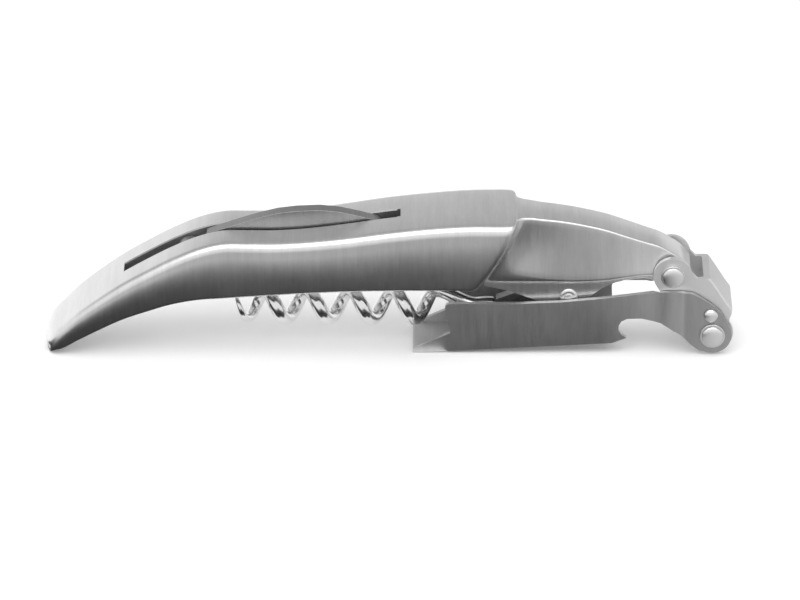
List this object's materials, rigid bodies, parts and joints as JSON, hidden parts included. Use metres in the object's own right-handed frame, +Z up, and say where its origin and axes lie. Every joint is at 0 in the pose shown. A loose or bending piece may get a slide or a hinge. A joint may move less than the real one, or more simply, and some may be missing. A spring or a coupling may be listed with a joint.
{
  "type": "waiters friend corkscrew",
  "caption": "Folding lever corkscrew: a curved one-piece steel handle with a foil cutter, a swing-out worm, and a linked lever with a jaw and a bottle opener.",
  "frame": {"origin": "middle of the closed tool's outline seen from above, on the surface that it lies on", "axes": "+X from the tail of the handle towards the hinge of the lever, +Y across the tool away from its near side, +Z up"},
  "size_m": [0.1459, 0.0218, 0.031],
  "materials": {
    "brushed_steel": "fine brushed satin",
    "satin_steel": "darker satin",
    "polished_steel": "polished",
    "blade_steel": "ground and fine brushed",
    "spring_steel": "plain satin"
  },
  "bodies": {
    "handle": {"handle_body": "brushed_steel", "knife_pivot_pin": "satin_steel", "back_spring": "spring_steel", "spring_pin": "satin_steel", "worm_rivet": "polished_steel", "worm_washer_near": "satin_steel", "worm_washer_far": "satin_steel", "link_rivet": "polished_steel", "link_washer_near": "polished_steel", "link_washer_far": "polished_steel"},
    "knife": {"knife_blade": "blade_steel"},
    "worm": {"worm_spiral": "polished_steel", "worm_hub": "satin_steel"},
    "link": {"link_bracket": "polished_steel", "lever_bush": "satin_steel", "lever_rivet": "polished_steel"},
    "lever": {"lever_arm": "satin_steel", "lever_washer_near": "polished_steel", "lever_washer_far": "polished_steel", "stop_pin": "polished_steel"}
  },
  "joints": [
    {"name": "knife_pivot", "type": "hinge", "parent": "handle", "child": "knife", "pos_m": [-0.04255, 0, 0.02062], "axis": [0, -1, 0], "range_deg": [0, 150]},
    {"name": "worm_pivot", "type": "hinge", "parent": "handle", "child": "worm", "pos_m": [0.03755, 0, 0.01221], "axis": [0, -1, 0], "range_deg": [0, 90]},
    {"name": "link_pivot", "type": "hinge", "parent": "handle", "child": "link", "pos_m": [0.05955, 0, 0.01761], "axis": [0, -1, 0], "range_deg": [0, 115]},
    {"name": "lever_pivot", "type": "hinge", "parent": "link", "child": "lever", "pos_m": [0.06805, 0, 0.0045], "axis": [0, -1, 0], "range_deg": [0, 150]}
  ],
  "couplings": [
    {"joint": "worm_pivot", "follows": "lever_pivot", "ratio": 0.6}
  ]
}
